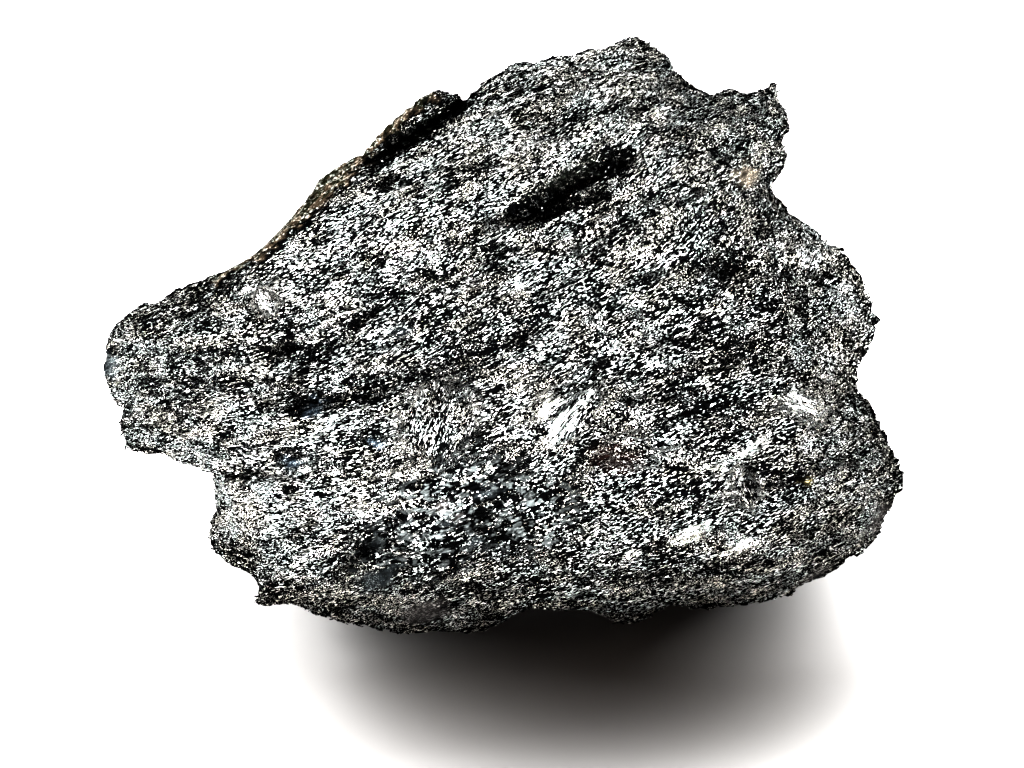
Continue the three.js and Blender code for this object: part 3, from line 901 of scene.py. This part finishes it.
def wedge_points(rng, places, normals, angle, half_long, half_wide, tall):
    """The six corners of each wedge, sunk in the skin and turned to its angle on the face."""
    count = len(places)
    flow = np.cos(angle)[:, None] * np.array(RIGHT) + np.sin(angle)[:, None] * np.array(UP_SLOPE)
    tilt = rng.normal(0, WEDGE_LEAN, (count, 2))
    side = unit(np.cross(normals, flow))
    forward = unit(np.cross(side, normals))
    up = unit(normals + tilt[:, :1] * side + LENGTHWISE_LEAN * tilt[:, 1:] * forward)
    side = unit(np.cross(up, forward))
    forward = unit(np.cross(side, up))
    ridge = rng.uniform(-RIDGE_OFFSET, RIDGE_OFFSET, count) * half_wide
    hip = rng.uniform(*HIP_REACH, (count, 2)) * half_long[:, None]
    narrow = rng.uniform(*END_WIDTH, (count, 2)) * half_wide[:, None]
    low_end = tall * rng.uniform(*LOW_END, count)
    sink = -WEDGE_SINK * tall
    shape = np.stack([
        np.stack([-half_long, -half_wide, sink], axis=1),
        np.stack([half_long, -narrow[:, 0], sink], axis=1),
        np.stack([half_long, narrow[:, 1], sink], axis=1),
        np.stack([-half_long, half_wide, sink], axis=1),
        np.stack([-hip[:, 0], ridge, low_end], axis=1),
        np.stack([hip[:, 1], ridge, tall], axis=1),
    ], axis=1) * MM
    axes = np.stack([forward, side, up], axis=1)
    points = places[:, None, :] + np.einsum("nki,nij->nkj", shape, axes)
    points[:, :, 2] = np.maximum(points[:, :, 2], ABOVE_TABLE)
    return points.reshape(-1, 3), np.repeat(up, WEDGE_CORNERS, axis=0)


def join_wedges(name, points, normals, tone, bright, level):
    """One joined mesh of closed wedges, with what its finish needs."""
    count = len(tone)
    first_corners = np.arange(count)[:, None, None] * WEDGE_CORNERS
    faces = (first_corners + WEDGE_FACES[None]).reshape(-1, 3)
    wedges = bpy.data.meshes.new(name)
    wedges.from_pydata(points, [], faces)
    add_attribute(wedges, "tone", np.repeat(tone, WEDGE_CORNERS))
    add_attribute(wedges, "bright", np.repeat(bright, WEDGE_CORNERS))
    add_finish(wedges, points, normals, level)
    return put_in_scene(name, wedges)


def make_blades(mesh, keep, name, count, seed, length, width, height, stray):
    """Thousands of blades strewn over the skin where keep allows, turned with the grain."""
    rng = np.random.default_rng(seed)
    places, normals, bright = sample_surface(mesh, count, keep, rng)
    x, v, _ = face_places(places).T
    angle = grain_places(x, v)[2] + np.radians(rng.normal(0, stray, count))
    size = np.exp(np.clip(rng.normal(0, BLADE_SPREAD, count), -BLADE_LIMIT, BLADE_LIMIT))
    tall = height * np.exp(rng.normal(0, BLADE_SPREAD, count))
    half_long, half_wide = length / 2 * size, width / 2 * size
    points, ups = wedge_points(rng, places, normals, angle, half_long, half_wide, tall)
    return join_wedges(name, points, ups, rng.random(count) - 0.5, bright, 0)


def make_plates(name, mesh, seed):
    """The large bright cleavage plates, each a row of slivers lying side by side."""
    rng = np.random.default_rng(seed)
    points = np.array([vert.co for vert in mesh.vertices])
    ups = vertex_normals(mesh)
    x, v, w = face_places(points).T
    slivers = []
    for middle_x, middle_v, long, wide, tilt in PLATES:
        far = np.where(w > PLATE_BACK, np.hypot(x - middle_x, v - middle_v), FAR_AWAY)
        near = np.argsort(far)[:PLATE_NEIGHBOURS]
        middle = points[near].mean(axis=0)
        normal = unit(ups[near].mean(axis=0)[None])[0]
        turn = math.radians(tilt)
        flow = math.cos(turn) * np.array(RIGHT) + math.sin(turn) * np.array(UP_SLOPE)
        side = unit(np.cross(normal, flow)[None])[0]
        forward = np.cross(side, normal)
        for across in np.arange(-wide, wide, SLIVER_PITCH):
            reach = math.sqrt(1 - (across / wide) ** 2) * rng.uniform(*SLIVER_REACH)
            shift = long * rng.uniform(-SLIVER_SHIFT, SLIVER_SHIFT)
            place = middle + (across * side + shift * forward + PLATE_RISE * normal) * MM
            slivers.append((*place, *normal, turn, max(long * reach, SLIVER_SHORTEST)))
    slivers = np.array(slivers)
    count = len(slivers)
    half_wide = SLIVER_PITCH * rng.uniform(*SLIVER_WIDTH, count)
    tall = rng.uniform(*SLIVER_HEIGHT, count)
    corners, upward = wedge_points(
        rng, slivers[:, :3], slivers[:, 3:6], slivers[:, 6], slivers[:, 7], half_wide, tall
    )
    tone = rng.random(count) - 0.5
    return join_wedges(name, corners, upward, tone, np.ones(count), PLATE_LEVEL)


# ---- Table and light ----

TABLE_SIZE = 3.0
CARD_WHITE = (0.38, 0.376, 0.373, 1)
CARD_ROUGHNESS = 0.9
WARM_FILL = (1.0, 0.84, 0.74, 1)
FILL_STRENGTH = 0.22
SPOT_BLEND = 0.08
GAMMA = 0.65
# Lamps: name, place, what they aim at, then size (or cone and bulb radius) and watts.
WINDOW = ("window", (-0.15, 0.55, 0.47), (0.0, 0.0, 0.03), (4.0, 0.45), 300)
FRONT_LAMP = ("front_lamp", (0.05, -0.725, 0.373), (0.0, 0.0, 0.217), 30, 0.012, 320)


def make_table():
    """A plain pale card for the lump to rest on."""
    build = bmesh.new()
    bmesh.ops.create_grid(build, x_segments=1, y_segments=1, size=TABLE_SIZE / 2)
    mesh = bpy.data.meshes.new("table")
    build.to_mesh(mesh)
    build.free()
    table = put_in_scene("table", mesh)
    material = bpy.data.materials.new("white_card")
    material.use_nodes = True
    shader = material.node_tree.nodes["Principled BSDF"]
    shader.inputs["Base Color"].default_value = CARD_WHITE
    shader.inputs["Roughness"].default_value = CARD_ROUGHNESS
    shader.inputs["Specular IOR Level"].default_value = 0
    mesh.materials.append(material)


def add_softbox(name, place, aim, size, power):
    light = bpy.data.lights.new(name, "AREA")
    light.shape = "RECTANGLE"
    light.size, light.size_y = size
    light.energy = power
    hang(name, light, place, aim)


def add_spot(name, place, aim, cone, radius, power):
    """A round lamp whose cone, in degrees, is kept off the table before the specimen."""
    light = bpy.data.lights.new(name, "SPOT")
    light.spot_size = math.radians(cone)
    light.spot_blend = SPOT_BLEND
    light.shadow_soft_size = radius
    light.energy = power
    hang(name, light, place, aim)


def hang(name, light, place, aim):
    """Puts a lamp in its place, turned to what it aims at."""
    lamp = put_in_scene(name, light)
    lamp.location = place
    lamp.rotation_euler = (Vector(aim) - Vector(place)).to_track_quat("-Z", "Y").to_euler()


def light_studio():
    """A hard front lamp, a wide window behind and a faint warm fill all round."""
    world = bpy.data.worlds.new("studio")
    world.use_nodes = True
    background = world.node_tree.nodes["Background"]
    background.inputs["Color"].default_value = WARM_FILL
    background.inputs["Strength"].default_value = FILL_STRENGTH
    bpy.context.scene.world = world
    add_softbox(*WINDOW)
    add_spot(*FRONT_LAMP)
    view = bpy.context.scene.view_settings
    view.view_transform = "Standard"
    view.look = "None"
    view.gamma = GAMMA


# ---- Make everything ----

mass_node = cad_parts["antimony_mass"]
skin_mesh = make_skin(mass_node)
break_skin(skin_mesh)
skin = put_in_scene("antimony_skin", skin_mesh)
skin_mesh.materials.clear()
skin_mesh.materials.append(finish_metal("broken_antimony", *BROKEN_FINISH))
skin_mesh.polygons.foreach_set("use_smooth", [False] * len(skin_mesh.polygons))
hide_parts("antimony_mass")
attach(skin, "root")

blade_metal = finish_metal("antimony_blades", *BLADE_FINISH)


def above_foot(centres):
    return centres[:, 2] > BARE_FOOT


def on_face(centres):
    """The open face, off its plates, dark hollows, stains and rind."""
    x, v, w = face_places(centres).T
    stains = [(*shape, cover) for *shape, _, cover in STAINS]
    bare = (spread(x, v, LIFTS) < PLATE_LIFT) & (hollow_darkness(x, v) < BLADES_SHADE)
    clean = (spread(x, v, stains) < BLADES_STAIN) & (outside_rind_line(x, v, w) < 0)
    return (w > FACE_BLADES_END) & above_foot(centres) & bare & clean


def well_inside(centres):
    """The face away from its rim, where a long blade can't stick out past the outline."""
    return on_face(centres) & (face_places(centres)[:, 2] > LONG_BLADES_END)


def off_face(centres):
    """The hidden sides and back, down to just above the table."""
    return (face_places(centres)[:, 2] <= BACK_BLADES_START) & above_foot(centres)


for blades, keep in (
    (FACE_BLADES, well_inside),
    (FACE_NEEDLES, on_face),
    (FACE_CHIPS, on_face),
    (BACK_BLADES, off_face),
):
    piece = make_blades(skin_mesh, keep, *blades)
    piece.data.materials.append(blade_metal)
    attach(piece, "root")

plates = make_plates("bright_plates", skin_mesh, PLATE_SEED)
plates.data.materials.append(finish_metal("bright_cleavage", *CLEAVAGE_FINISH))
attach(plates, "root")

make_table()
light_studio()
